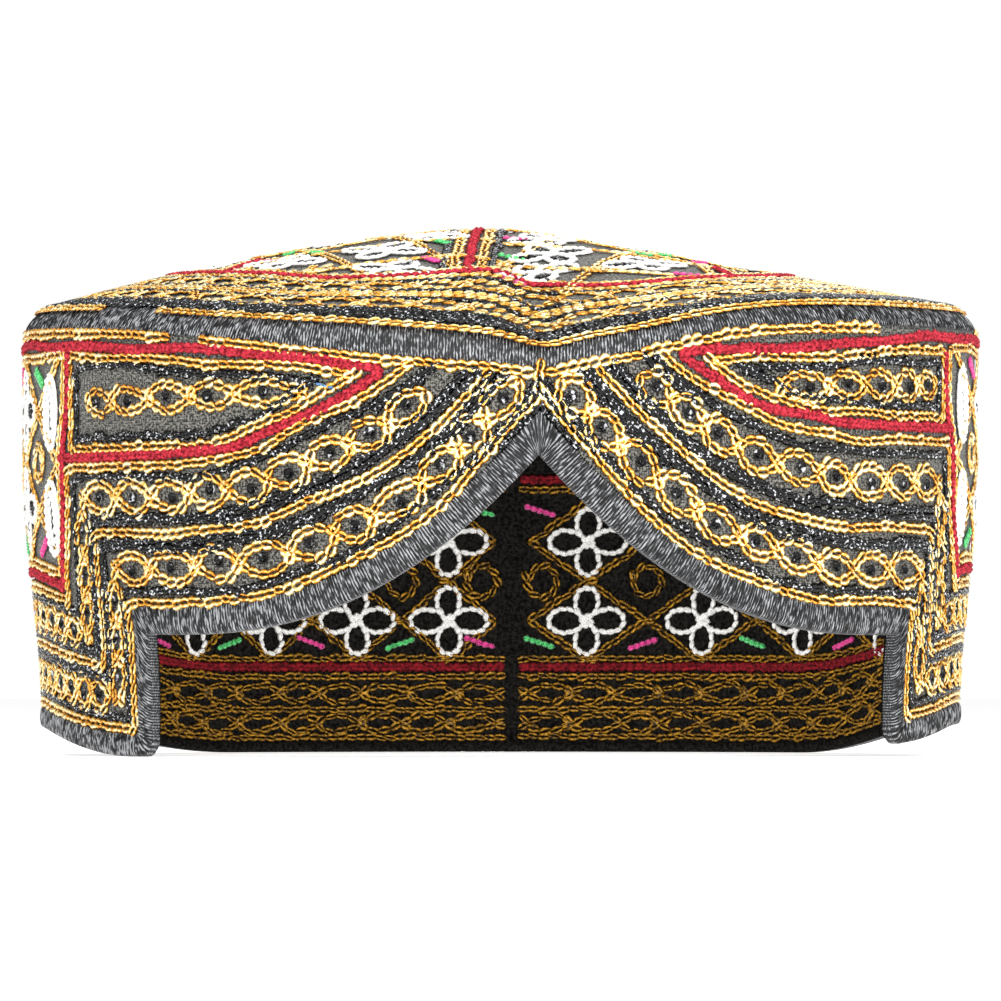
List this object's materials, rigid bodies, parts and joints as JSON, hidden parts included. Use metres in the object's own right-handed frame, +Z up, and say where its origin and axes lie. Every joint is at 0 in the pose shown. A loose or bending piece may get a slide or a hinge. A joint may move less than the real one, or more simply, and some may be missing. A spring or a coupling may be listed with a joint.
{
  "type": "sindhi cap",
  "caption": "Round low-domed embroidered cap with a pointed arch cut out of its front and a satin-bound edge.",
  "frame": {"origin": "middle of the cap at the level of the surface it stands on", "axes": "+Z up through the crown, -Y to the front, where the arch is cut out, +X to the viewer's right"},
  "size_m": [0.1894, 0.19, 0.1048],
  "materials": {
    "embroidered_cloth": "black cotton covered in couched thread",
    "satin_stitch": "padded black satin stitch, soft sheen",
    "overcast_seam": "black overcast thread, dull",
    "gold_thread": "metallic chain stitch",
    "black_thread": "glossy chain stitch",
    "red_wool": "matt wool chain stitch",
    "white_thread": "soft cotton chain stitch",
    "bright_silk": "magenta and green satin stitches",
    "sequin": "dark cup sequin, glossy"
  },
  "bodies": {
    "root": {"crown": "embroidered_cloth", "crown_edge_roll": "satin_stitch", "side_band": "embroidered_cloth", "edge_binding": "satin_stitch", "back_seam": "overcast_seam"}
  },
  "joints": []
}
